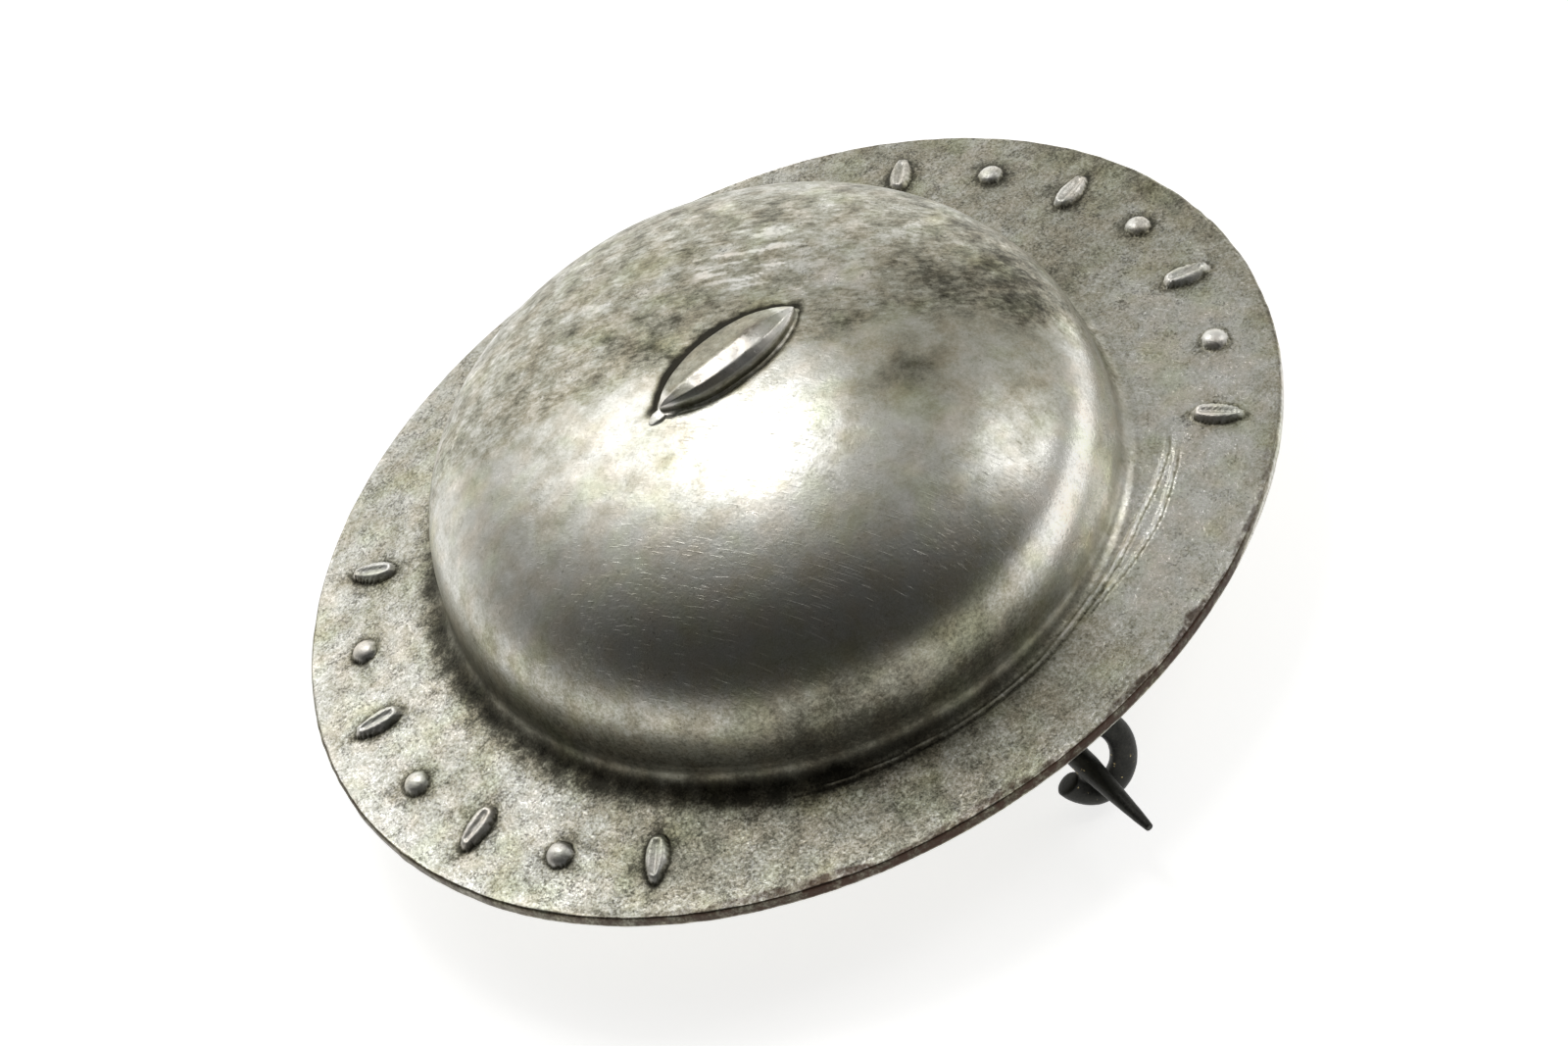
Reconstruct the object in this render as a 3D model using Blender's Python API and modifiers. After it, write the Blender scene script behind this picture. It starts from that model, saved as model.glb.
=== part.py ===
"""Cap badge in the shape of a steel helmet: a pressed shell, a soldered comb, a wire pin and its catch.

Metres, +Z up. X is the helmet's long axis and Y runs across it. The pin lies along Y under the brim.
"""
import math

import bmesh
import bpy
from mathutils import Matrix, Vector

MM = 0.001

# Brim and sheet
BRIM_HALF_LENGTH = 19.0
BRIM_HALF_WIDTH = 16.42
SHEET = 0.5
LAND_WIDTH = 0.9
EDGE_ROUND = 0.1
BRIM_RISE = 0.62

# Crown
CROWN_RADIUS = 12.5
CROWN_HEIGHT = 7.76
CROWN_SQUARENESS = 3.5
CROWN_WIDENING = 1.028
CROWN_SHIFT = -0.28
FOOT_FILLET = 0.8
SHELL_STEPS = 64

# Raised border on the brim, one group at each end
MARK_INSET = 2.2
MARK_COUNT = 7
MARK_SPREAD = 13.7
LEAF_LENGTH = 2.0
LEAF_WIDTH = 0.85
BEAD_WIDTH = 1.0
MARK_RELIEF = 0.26

# Comb
COMB_LENGTH = 6.0
COMB_WIDTH = 2.3
COMB_HEIGHT = 0.62
COMB_SIDE = 0.16
SOLDER_FILM = 0.1
SOLDER_MARGIN = 0.16
SOLDER_TAIL = 0.6

# Wire fittings
WIRE = 0.435
JOINT_GAP = 0.03
HOOK_WIRE = 0.48
HOOK_RADIUS = 1.45
HOOK_SIDE = 0.92
HOOK_DEPTH = 1.16
HOOK_CURL = 0.15
HOOK_CENTRE = (0.8, 1.2)
ROOT_GAP = 0.12
SOLDER_DROP = 0.33
HOOK_TWIST = 25.0
HOOK_LEAN = 15.0
HOOK_START = -8.0
HOOK_END = 229.0
POST_CENTRE = (1.17, 1.85)
POST_RADIUS = 0.5
POST_SHOULDER = 0.85
POST_SHOULDER_DROP = 1.48
POST_HEAD_DROP = 2.46
POST_HEAD_RADIUS = 1.05
POST_HEAD_HEIGHT = 0.5
EYE_DROP = 1.95
EYE_CLEARANCE = 0.09
EYE_WRAP = 276.0
STEM_TIP = (0.37, 2.78)
STEM_DROP = 0.027
STEM_TAPER = 3.4
TIP_RADIUS = 0.14


def clear_scene():
    for obj in list(bpy.data.objects):
        bpy.data.objects.remove(obj, do_unlink=True)


def collection(name):
    made = bpy.data.collections.new(name)
    bpy.context.scene.collection.children.link(made)
    return made


def material(name, colour, metallic, roughness):
    made = bpy.data.materials.new(name)
    made.use_nodes = True
    shader = made.node_tree.nodes["Principled BSDF"]
    shader.inputs["Base Color"].default_value = (*colour, 1.0)
    shader.inputs["Metallic"].default_value = metallic
    shader.inputs["Roughness"].default_value = roughness
    return made


def place(name, mesh, home):
    obj = bpy.data.objects.new(name, mesh)
    home.objects.link(obj)
    return obj


def realised(obj):
    """The object's mesh with its modifiers worked in."""
    bpy.context.view_layer.update()
    graph = bpy.context.evaluated_depsgraph_get()
    mesh = bpy.data.meshes.new_from_object(obj.evaluated_get(graph))
    mesh.name = obj.name
    return mesh


def settle(obj):
    """Work the modifiers into the mesh and keep the object."""
    mesh = realised(obj)
    obj.modifiers.clear()
    obj.data = mesh
    return obj


def revolve(name, profile, steps, home):
    """Spin a profile of (radius, height) pairs, listed from top to bottom, round Z."""
    mesh = bpy.data.meshes.new(name)
    points = [(r * MM, 0.0, z * MM) for r, z in profile]
    edges = [(i, i + 1) for i in range(len(points) - 1)]
    mesh.from_pydata(points, edges, [])
    obj = place(name, mesh, home)
    spin = obj.modifiers.new("spin", "SCREW")
    spin.steps = steps
    spin.render_steps = steps
    spin.use_merge_vertices = True
    spin.merge_threshold = 0.000001
    settle(obj)
    return recalculated(obj)


def recalculated(obj):
    """Weld the seams and turn every face outwards."""
    work = bmesh.new()
    work.from_mesh(obj.data)
    bmesh.ops.remove_doubles(work, verts=work.verts, dist=0.000001)
    bmesh.ops.recalc_face_normals(work, faces=work.faces)
    work.to_mesh(obj.data)
    work.free()
    return obj


def wire(name, points, radii, home, sides=4):
    """A round wire through the points, with flat ends."""
    curve = bpy.data.curves.new(name, "CURVE")
    curve.dimensions = "3D"
    curve.bevel_depth = WIRE * MM
    curve.bevel_resolution = sides
    curve.use_fill_caps = True
    path = curve.splines.new("POLY")
    path.points.add(len(points) - 1)
    for point, where, radius in zip(path.points, points, radii):
        point.co = (where[0] * MM, where[1] * MM, where[2] * MM, 1.0)
        point.radius = radius / WIRE
    obj = place(name, curve, home)
    mesh = realised(obj)
    bpy.data.objects.remove(obj)
    bpy.data.curves.remove(curve)
    return recalculated(place(name, mesh, home))


def swollen(obj, gap, home):
    """A cutter that is the object grown by a gap (mm) on every side."""
    mesh = obj.data.copy()
    grown = [v.co + v.normal * gap * MM for v in mesh.vertices]
    for vertex, where in zip(mesh.vertices, grown):
        vertex.co = where
    return place(obj.name + "_clearance", mesh, home)


def boolean(obj, cutter, operation):
    work = obj.modifiers.new(operation.lower() + "_" + cutter.name, "BOOLEAN")
    work.operation = operation
    work.solver = "EXACT"
    work.object = cutter
    return obj


def width_factor(radius):
    """How much wider than long the plan is at this radius: round at the crown, oval at the brim."""
    foot = CROWN_RADIUS + FOOT_FILLET
    edge = BRIM_HALF_WIDTH / BRIM_HALF_LENGTH
    if radius <= CROWN_RADIUS - 1.0:
        return CROWN_WIDENING
    if radius <= foot:
        part = (radius - CROWN_RADIUS + 1.0) / (foot - CROWN_RADIUS + 1.0)
        part = part * part * (3 - 2 * part)
        return CROWN_WIDENING + (1.004 - CROWN_WIDENING) * part
    return 1.004 + (edge - 1.004) * (radius - foot) / (BRIM_HALF_LENGTH - foot)


def crown_shift(radius):
    foot = CROWN_RADIUS + FOOT_FILLET
    if radius <= foot:
        return CROWN_SHIFT
    return CROWN_SHIFT * (BRIM_HALF_LENGTH - radius) / (BRIM_HALF_LENGTH - foot)


def to_plan(obj):
    """Draw the round spun shape out to the badge's oval plan."""
    for vertex in obj.data.vertices:
        radius = math.hypot(vertex.co.x, vertex.co.y) / MM
        vertex.co.x += crown_shift(radius) * MM
        vertex.co.y *= width_factor(radius)
    return obj


def crown_height(radius):
    inside = max(0.0, 1.0 - (radius / CROWN_RADIUS) ** 2)
    return CROWN_HEIGHT * inside ** (1.0 / CROWN_SQUARENESS)


def outer_profile():
    """The shell's upper surface, from the crown's top to the brim's edge."""
    points = [(0.0, CROWN_HEIGHT)]
    for i in range(1, 14):
        angle = math.radians(88.6) * i / 13
        height = CROWN_HEIGHT * math.cos(angle) ** (2.0 / CROWN_SQUARENESS)
        points.append((CROWN_RADIUS * math.sin(angle), height))
    low = BRIM_RISE + FOOT_FILLET
    points = [p for p in points if p[1] > low + 0.15]
    for i in range(0, 5):
        angle = math.radians(82.0) * i / 4
        across = FOOT_FILLET * (1 - math.cos(angle))
        down = FOOT_FILLET * math.sin(angle)
        points.append((CROWN_RADIUS + across, low - down))
    land = BRIM_HALF_LENGTH - LAND_WIDTH
    foot, height = points[-1]
    for i in range(1, 4):
        part = i / 4
        points.append((foot + (land - foot) * part, height * (1 - part) + 0.02 * part))
    points.append((land, 0.0))
    points.append((BRIM_HALF_LENGTH - EDGE_ROUND, 0.0))
    return points


def offset(points, distance):
    """The same profile moved inwards by the sheet's thickness."""
    moved = []
    for i, (r, z) in enumerate(points):
        before = points[max(i - 1, 0)]
        after = points[min(i + 1, len(points) - 1)]
        dr, dz = after[0] - before[0], after[1] - before[1]
        long = math.hypot(dr, dz)
        if i == 0:
            moved.append((0.0, z - distance))
        else:
            moved.append((r + dz / long * distance, z - dr / long * distance))
    return moved


def shell_profile():
    top = outer_profile()
    land = BRIM_HALF_LENGTH - LAND_WIDTH
    under = [p for p in offset(top, SHEET) if p[0] < land - 0.05]
    under.append((land, -SHEET))
    under.append((BRIM_HALF_LENGTH - EDGE_ROUND, -SHEET))
    edge = [(BRIM_HALF_LENGTH, -EDGE_ROUND), (BRIM_HALF_LENGTH, EDGE_ROUND - SHEET)]
    return top + edge + under[::-1]


def brim_height(x, y):
    """The upper surface's height over the brim at a point of the plan."""
    foot = CROWN_RADIUS + FOOT_FILLET
    land = BRIM_HALF_LENGTH - LAND_WIDTH
    low, high = foot, BRIM_HALF_LENGTH
    for _ in range(40):
        middle = (low + high) / 2
        across = (x - crown_shift(middle)) / middle
        along = y / (middle * width_factor(middle))
        if math.hypot(across, along) > 1.0:
            low = middle
        else:
            high = middle
    return BRIM_RISE * max(0.0, (land - low) / (land - foot))


def mark_places():
    """Centres and outward directions of the raised marks."""
    places = []
    long = BRIM_HALF_LENGTH - MARK_INSET
    wide = BRIM_HALF_WIDTH - MARK_INSET
    for end in (180.0, 0.0):
        for i in range(MARK_COUNT):
            angle = math.radians(end + (i - (MARK_COUNT - 1) / 2) * MARK_SPREAD)
            x, y = long * math.cos(angle), wide * math.sin(angle)
            turn = math.atan2(y * long / wide, x * wide / long)
            places.append((x, y, turn, i % 2 == 0))
    return places


def marks(home):
    """Leaves and beads by turns, as one body of separate cushions."""
    work = bmesh.new()
    for x, y, turn, leaf in mark_places():
        size = (LEAF_LENGTH / 2, LEAF_WIDTH / 2) if leaf else (BEAD_WIDTH / 2, BEAD_WIDTH / 2)
        where = Matrix.Translation(Vector((x, y, brim_height(x, y))) * MM)
        where = where @ Matrix.Rotation(turn, 4, "Z")
        where = where @ Matrix.Diagonal((size[0] * MM, size[1] * MM, MARK_RELIEF * MM, 1.0))
        bmesh.ops.create_uvsphere(work, u_segments=12, v_segments=6, radius=1.0, matrix=where)
    mesh = bpy.data.meshes.new("border_marks")
    work.to_mesh(mesh)
    work.free()
    return place("border_marks", mesh, home)


def lens_outline(length, width, steps):
    """Half the outline of a pointed oval, from one tip to the other."""
    half, rise = length / 2, width / 2
    radius = (half * half + rise * rise) / (2 * rise)
    sweep = math.asin(half / radius)
    line = []
    for i in range(steps + 1):
        angle = -sweep + 2 * sweep * i / steps
        line.append((radius * math.sin(angle), radius * math.cos(angle) - radius + rise))
    return line


def comb(home):
    """A pointed oval with a ridge along it, lofted from the outline to the ridge line."""
    steps = 16
    side = lens_outline(COMB_LENGTH, COMB_WIDTH, steps)
    base = CROWN_HEIGHT - 0.6
    eaves = CROWN_HEIGHT + SOLDER_FILM + COMB_SIDE
    work = bmesh.new()
    rings = []
    for sign in (1, -1):
        rings.append([work.verts.new(Vector((x, sign * y, eaves)) * MM) for x, y in side[1:-1]])
    low = []
    for sign in (1, -1):
        low.append([work.verts.new(Vector((x, sign * y, base)) * MM) for x, y in side[1:-1]])
    tips = [work.verts.new(Vector((side[i][0], 0, eaves - 0.06)) * MM) for i in (0, -1)]
    low_tips = [work.verts.new(Vector((side[i][0], 0, base)) * MM) for i in (0, -1)]
    ridge = []
    for x, y in side[1:-1]:
        rise = (COMB_HEIGHT - COMB_SIDE) * (y / (COMB_WIDTH / 2)) ** 0.7
        ridge.append(work.verts.new(Vector((x, 0, eaves + rise)) * MM))
    for k, top in enumerate(rings):
        bottom = low[k]
        for i in range(len(top) - 1):
            work.faces.new((top[i], top[i + 1], ridge[i + 1], ridge[i]))
            work.faces.new((top[i], top[i + 1], bottom[i + 1], bottom[i]))
        for end, i in ((0, 0), (1, -1)):
            work.faces.new((tips[end], top[i], ridge[i]))
            work.faces.new((tips[end], top[i], bottom[i], low_tips[end]))
    floor = [low_tips[0]] + low[0] + [low_tips[1]] + low[1][::-1]
    work.faces.new(floor)
    bmesh.ops.recalc_face_normals(work, faces=work.faces)
    mesh = bpy.data.meshes.new("crown_comb")
    work.to_mesh(mesh)
    work.free()
    return place("crown_comb", mesh, home)


def film(home):
    """The thin line of solder round the comb's foot, with a short run-out at the rear tip."""
    side = lens_outline(COMB_LENGTH + 2 * SOLDER_MARGIN, COMB_WIDTH + 2 * SOLDER_MARGIN, 16)
    outline = side + [(x, -y) for x, y in side[1:-1][::-1]]
    tail = min(x for x, _ in outline)
    curve = bpy.data.curves.new("comb_solder", "CURVE")
    curve.dimensions = "2D"
    curve.fill_mode = "BOTH"
    curve.extrude = 0.4 * MM
    path = curve.splines.new("POLY")
    path.points.add(len(outline) - 1)
    path.use_cyclic_u = True
    for point, (x, y) in zip(path.points, outline):
        reach = SOLDER_TAIL * max(0.0, 1 - (x - tail) / 0.5)
        point.co = ((x - reach) * MM, y * MM, 0.0, 1.0)
    obj = place("comb_solder_blank", curve, home)
    mesh = realised(obj)
    bpy.data.objects.remove(obj)
    bpy.data.curves.remove(curve)
    for vertex in mesh.vertices:
        vertex.co.z += CROWN_HEIGHT * MM
    return recalculated(place("comb_solder", mesh, home))


def brim_underside(x, y):
    return brim_height(x, y) - SHEET


def hook_centre():
    """The middle of the catch's arc, low enough for its root to clear the brim's underside."""
    x, y = HOOK_CENTRE[0], HOOK_CENTRE[1] - BRIM_HALF_WIDTH
    rise = HOOK_RADIUS * math.cos(math.radians(HOOK_START)) * math.cos(math.radians(HOOK_LEAN))
    return Vector((x, y, brim_underside(x, y) - ROOT_GAP - HOOK_WIRE - rise))


def hook_points():
    """The catch's centre line in a twisted, leaning plane: deeper below, and curling in at its end."""
    twist, lean = math.radians(HOOK_TWIST), math.radians(HOOK_LEAN)
    across = Vector((math.cos(twist), -math.sin(twist), 0.0))
    out = Vector((-math.sin(twist), -math.cos(twist), 0.0))
    down = out * math.sin(lean) + Vector((0, 0, -1)) * math.cos(lean)
    centre = hook_centre()
    points = []
    steps = 26
    for i in range(steps + 1):
        turn = HOOK_START + (HOOK_END - HOOK_START) * i / steps
        angle = math.radians(turn)
        size = HOOK_RADIUS * (1 - HOOK_CURL * max(0.0, turn - 180) / 50)
        side = size * HOOK_SIDE * math.sin(angle)
        depth = -size * math.cos(angle) * (HOOK_DEPTH if math.cos(angle) < 0 else 1.0)
        points.append(centre + side * across + depth * down)
    return points


def pin_points():
    """The pin's centre line from its point to the end of its eye, and the wire's radius along it."""
    bend = POST_RADIUS + EYE_CLEARANCE + WIRE
    post = Vector((POST_CENTRE[0], BRIM_HALF_WIDTH - POST_CENTRE[1], 0.0))
    tip = Vector((STEM_TIP[0], -BRIM_HALF_WIDTH - STEM_TIP[1], hook_centre().z - STEM_DROP))
    start = post + Vector((bend, 0.0, -EYE_DROP))
    points, radii = [], []
    long = (start - tip).length
    for part in (0.0, 0.012, 0.03, 0.055, 0.08, STEM_TAPER / long, 0.2, 0.4, 0.6, 0.8, 0.92):
        points.append(tip.lerp(start, part))
        grown = min(1.0, part * long / STEM_TAPER)
        radii.append(TIP_RADIUS + (WIRE - TIP_RADIUS) * grown ** 0.85)
    turns = 22
    for i in range(turns + 1):
        angle = math.radians(EYE_WRAP) * i / turns
        spot = Vector((math.cos(angle), math.sin(angle), 0.0)) * bend
        points.append(post + spot + Vector((0.0, 0.0, -EYE_DROP)))
        radii.append(WIRE)
    return points, radii


def post_profile():
    head = POST_HEAD_DROP + POST_HEAD_HEIGHT
    return [
        (0.0, 0.9),
        (POST_SHOULDER, 0.9),
        (POST_SHOULDER, -POST_SHOULDER_DROP),
        (POST_RADIUS, -POST_SHOULDER_DROP),
        (POST_RADIUS, -POST_HEAD_DROP),
        (POST_HEAD_RADIUS, -POST_HEAD_DROP),
        (POST_HEAD_RADIUS, -head + 0.22),
        (POST_HEAD_RADIUS - 0.2, -head + 0.06),
        (POST_HEAD_RADIUS - 0.5, -head),
        (0.0, -head),
    ]


def below_shell(obj, shell, home):
    """Trim a fitting's blank to the part that lies under the sheet, just clear of it."""
    gap = swollen(shell, JOINT_GAP, home)
    boolean(obj, gap, "DIFFERENCE")
    settle(obj)
    return keep_piece(obj, lowest=True)


def keep_piece(obj, lowest):
    """Of the loose pieces that a cut leaves, keep the lowest or the highest."""
    work = bmesh.new()
    work.from_mesh(obj.data)
    left, pieces = set(work.verts), []
    while left:
        first = left.pop()
        piece, edge = {first}, [first]
        while edge:
            vertex = edge.pop()
            for link in vertex.link_edges:
                other = link.other_vert(vertex)
                if other in left:
                    left.discard(other)
                    piece.add(other)
                    edge.append(other)
        pieces.append(piece)
    heights = [sum(v.co.z for v in piece) / len(piece) for piece in pieces]
    keep = heights.index(min(heights) if lowest else max(heights))
    gone = [v for k, piece in enumerate(pieces) if k != keep for v in piece]
    bmesh.ops.delete(work, geom=gone, context="VERTS")
    work.to_mesh(obj.data)
    work.free()
    return obj


def cushion(name, where, size, home):
    """A flattened ball, the blank of a solder fillet."""
    work = bmesh.new()
    spot = Matrix.Translation(Vector(where) * MM) @ Matrix.Diagonal((*[s * MM for s in size], 1.0))
    bmesh.ops.create_uvsphere(work, u_segments=24, v_segments=12, radius=1.0, matrix=spot)
    mesh = bpy.data.meshes.new(name)
    work.to_mesh(mesh)
    work.free()
    return place(name, mesh, home)


def put_on_base(parts):
    """Set the origin at the centre of the box's base."""
    corners = [obj.matrix_world @ v.co for obj in parts for v in obj.data.vertices]
    low = [min(c[i] for c in corners) for i in range(3)]
    high = [max(c[i] for c in corners) for i in range(3)]
    shift = Vector((-(low[0] + high[0]) / 2, -(low[1] + high[1]) / 2, -low[2]))
    for obj in parts:
        obj.data.transform(Matrix.Translation(shift))
    return shift


def turn_about(obj, pivot):
    """Move the object's origin to the pivot and leave its shape where it is."""
    obj.data.transform(Matrix.Translation(-pivot))
    obj.location = pivot


def main():
    clear_scene()
    badge = collection("cap_badge")
    cutters = collection("cutters")

    shell = to_plan(revolve("helmet_shell", shell_profile(), SHELL_STEPS, badge))
    plain = place("plain_shell", shell.data.copy(), cutters)
    boolean(shell, marks(cutters), "UNION")
    settle(shell)

    hook = wire("catch_hook", hook_points(), [HOOK_WIRE] * 27, badge)
    points, radii = pin_points()
    pin = wire("pin_wire", points, radii, badge)

    post = revolve("hinge_post", post_profile(), 32, badge)
    post_spot = Vector((POST_CENTRE[0], BRIM_HALF_WIDTH - POST_CENTRE[1], 0.0)) * MM
    post.data.transform(Matrix.Translation(post_spot))
    below_shell(post, plain, cutters)

    top = hook_points()[1]
    height = brim_underside(HOOK_CENTRE[0], HOOK_CENTRE[1] - BRIM_HALF_WIDTH) - SOLDER_DROP
    spot = (top.x - 0.1, top.y + 0.1, height)
    catch_solder = cushion("catch_solder", spot, (1.25, 0.8, 0.52), badge)
    below_shell(catch_solder, plain, cutters)
    boolean(catch_solder, swollen(hook, JOINT_GAP, cutters), "DIFFERENCE")
    settle(catch_solder)
    keep_piece(catch_solder, lowest=False)

    height = brim_underside(POST_CENTRE[0], BRIM_HALF_WIDTH - POST_CENTRE[1])
    spot = (POST_CENTRE[0], BRIM_HALF_WIDTH - POST_CENTRE[1], height)
    post_solder = cushion("hinge_solder", spot, (1.5, 1.25, 0.75), badge)
    below_shell(post_solder, plain, cutters)
    boolean(post_solder, swollen(post, JOINT_GAP, cutters), "DIFFERENCE")
    settle(post_solder)

    solder = film(badge)
    boolean(solder, swollen(plain, JOINT_GAP, cutters), "DIFFERENCE")
    settle(solder)
    keep_piece(solder, lowest=False)
    boolean(solder, swollen(plain, JOINT_GAP + SOLDER_FILM, cutters), "INTERSECT")
    settle(solder)
    ridge = comb(badge)
    boolean(ridge, swollen(plain, 2 * JOINT_GAP + SOLDER_FILM, cutters), "DIFFERENCE")
    settle(ridge)
    keep_piece(ridge, lowest=False)

    parts = [shell, ridge, solder, hook, catch_solder, post, post_solder, pin]
    looks = {
        "helmet_shell": ((0.46, 0.45, 0.4), 1.0, 0.42),
        "crown_comb": ((0.6, 0.58, 0.52), 1.0, 0.3),
        "comb_solder": ((0.62, 0.61, 0.57), 1.0, 0.5),
        "catch_hook": ((0.035, 0.034, 0.03), 1.0, 0.45),
        "catch_solder": ((0.3, 0.3, 0.28), 1.0, 0.55),
        "hinge_post": ((0.05, 0.048, 0.042), 1.0, 0.45),
        "hinge_solder": ((0.3, 0.3, 0.28), 1.0, 0.55),
        "pin_wire": ((0.035, 0.034, 0.03), 1.0, 0.42),
    }
    for obj in parts:
        obj.data.materials.clear()
        obj.data.materials.append(material(obj.name, *looks[obj.name]))
    shift = put_on_base(parts)
    turn_about(pin, post_spot + Vector((0, 0, -EYE_DROP * MM)) + shift)
    for obj in cutters.objects:
        obj.hide_render = True
        obj.display_type = "WIRE"
        obj.data.transform(Matrix.Translation(shift))


main()
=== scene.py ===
"""Looks for the helmet-shaped cap badge: fine meshes and aged-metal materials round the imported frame.

Lengths are in millimetres unless a name ends in _M. The brim's upper edge plane is height 0, as in the CAD.
"""
import math

import bpy
import numpy as np
from mathutils import Matrix, Vector

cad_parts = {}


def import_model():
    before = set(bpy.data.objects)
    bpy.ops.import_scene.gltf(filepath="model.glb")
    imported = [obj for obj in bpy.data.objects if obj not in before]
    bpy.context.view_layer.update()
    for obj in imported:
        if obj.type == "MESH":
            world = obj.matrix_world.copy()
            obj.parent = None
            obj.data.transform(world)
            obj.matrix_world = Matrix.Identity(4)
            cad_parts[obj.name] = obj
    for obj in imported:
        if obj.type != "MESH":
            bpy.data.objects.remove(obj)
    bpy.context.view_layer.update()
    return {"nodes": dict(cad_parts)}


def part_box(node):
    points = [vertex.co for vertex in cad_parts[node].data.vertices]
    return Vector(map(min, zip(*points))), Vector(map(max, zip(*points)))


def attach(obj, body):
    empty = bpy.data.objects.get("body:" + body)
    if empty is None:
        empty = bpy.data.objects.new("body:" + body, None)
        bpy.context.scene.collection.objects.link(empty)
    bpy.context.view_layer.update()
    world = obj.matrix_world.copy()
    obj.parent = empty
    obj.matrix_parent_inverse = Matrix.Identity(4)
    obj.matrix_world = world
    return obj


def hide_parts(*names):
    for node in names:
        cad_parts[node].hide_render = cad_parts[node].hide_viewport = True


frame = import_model()

MM = 0.001

# The shell's driving sizes, as in the CAD
CROWN_RADIUS = 12.5
CROWN_HEIGHT = 7.76
CROWN_SQUARENESS = 3.5
CROWN_WIDENING = 1.028
CROWN_SHIFT = -0.28
FOOT_FILLET = 0.8
BRIM_RISE = 0.62
LAND_WIDTH = 0.9
SHEET = 0.5
FOOT = CROWN_RADIUS + FOOT_FILLET

# Where the frame puts the shell
shell_low, shell_high = (np.array(corner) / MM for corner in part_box("helmet_shell"))
BRIM_HALF_LENGTH = (shell_high[0] - shell_low[0]) / 2
BRIM_HALF_WIDTH = (shell_high[1] - shell_low[1]) / 2
ORIGIN = np.array(
    [
        (shell_low[0] + shell_high[0]) / 2,
        (shell_low[1] + shell_high[1]) / 2,
        shell_high[2] - CROWN_HEIGHT,
    ]
)
LAND = BRIM_HALF_LENGTH - LAND_WIDTH

# Raised marks
MARK_INSET = 2.2
MARK_COUNT = 7
MARK_SPREAD = 13.7
LEAF_LENGTH = 2.0
LEAF_WIDTH = 0.85
BEAD_WIDTH = 1.0
MARK_RELIEF = 0.26

# The press tool's lines round the crown's foot: degrees round the shell, then distance from the foot
TOOL_LINE = ((240, 0.1), (256, -0.1), (290, -0.1), (306, 0.25), (318, 0.9))
TOOL_LINE_SECOND = ((288, 0.15), (292, 0.3), (305, 1.0), (320, 1.35))

# Comb
COMB_LENGTH = 6.0
COMB_WIDTH = 2.3
COMB_HEIGHT = 0.62
SOLDER_FILM = 0.1
SOLDER_MARGIN = 0.16
SOLDER_TAIL = 0.6
SEAT_SINK = 0.05

# The comb's section: places across it from the near side to the far side, and the height at each
COMB_STATIONS = (-1, -0.96, -0.74, -0.2, -0.1, 0.9, 1)
COMB_LEVELS = (0.12, 0.42, 0.84, 1.0, 0.98, 0.36, 0.12)

# Wire fittings
WIRE = 0.435
HOOK_WIRE = 0.48
HOOK_RADIUS = 1.45
HOOK_SIDE = 0.92
HOOK_DEPTH = 1.16
HOOK_CURL = 0.15
HOOK_CENTRE = (0.8, 1.2)
ROOT_GAP = 0.12
HOOK_TWIST = 25.0
HOOK_LEAN = 15.0
HOOK_STEPS = 150
HOOK_START = -8.0
HOOK_END = 229.0
POST_CENTRE = (1.17, 1.85)
POST_RADIUS = 0.5
EYE_DROP = 1.95
EYE_CLEARANCE = 0.09
EYE_WRAP = 276.0
STEM_TIP = (0.37, 2.78)
STEM_DROP = 0.027
STEM_TAPER = 3.4
TIP_RADIUS = 0.14
DRAWN_SHARE = 0.985

# A cut wire end: the rings that round it off, each a share of the radius wide and high, and its tip
CUT_END_RINGS = ((0.93, 0.09), (0.8, 0.14), (0.45, 0.17))
CUT_END_HEIGHT = 0.18

# Darker and lighter patches on the crown: x, y, radius and strength; partly tarnish, partly painted shade
# and painted highlight where the crown reflects darker or brighter parts of the surround. The back half is
# darker all over: painted shade, with tarnish streaks
TARNISH_AND_SHADE_PATCHES = (
    (4.1, -5.0, 1.7, 0.34),
    (3.2, -1.9, 1.3, 0.16),
    (8.0, -2.6, 2.0, 0.14),
    (-0.6, 3.2, 1.5, 0.14),
    (5.6, 0.3, 1.0, -0.14),
    (-1.6, -3.6, 2.0, -0.1),
)
BACK_SHADE_LINE = 59.0

# Pale rubbed strokes behind the comb: where they are and the way they run
STREAK_PLACE = (3.6, 4.0)
STREAK_TURN = -35.0

# Stretches of the shell where the patina, the press lines or the painted light and shade on the crown's
# wall and foot differ: first and last degree round it from +X, then the fade
NEAR_END = (140, 252, 24)
FLOWING_FOOT = (284, 352, 10)
DARK_FILLET = (242, 300, 8)
TOOL_ARC = (238, 318, 6)
SECOND_TOOL_ARC = (289, 317, 5)
BRIM_FRONT = (208, 284, 12)
BRIM_FAR = (345, 60, 16)
CLEAN_BRIM = (262, 345, 16)
WALL_NEAR = (170, 282, 15)
WALL_FRONT = (236, 280, 10)
WALL_RIGHT = (284, 335, 8)
HIGH_WALL_RIGHT = (306, 356, 14)
FAR_EDGE = (308, 24, 12)
DARK_CUT_EDGE = (165, 304, 12)
BROWN_EDGE = (225, 312, 16)

# The crown above this height can be near the comb, and this distance counts as clear of every mark
COMB_ZONE = 6
FAR_AWAY = 9.0

# Roundings of the brim's edge
EDGE_ROUND_TOP = 0.12
EDGE_ROUND_LOW = 0.08

# Mesh density
SHELL_COLUMNS = 1080
TOP_SPACING = 0.09
UNDER_SPACING = 0.45
COMB_GRID = (200, 80)
COMB_SOLDER_GRID = (260, 60)
WIRE_SIDES = 40


# ---------------------------------------------------------------- noise


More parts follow.
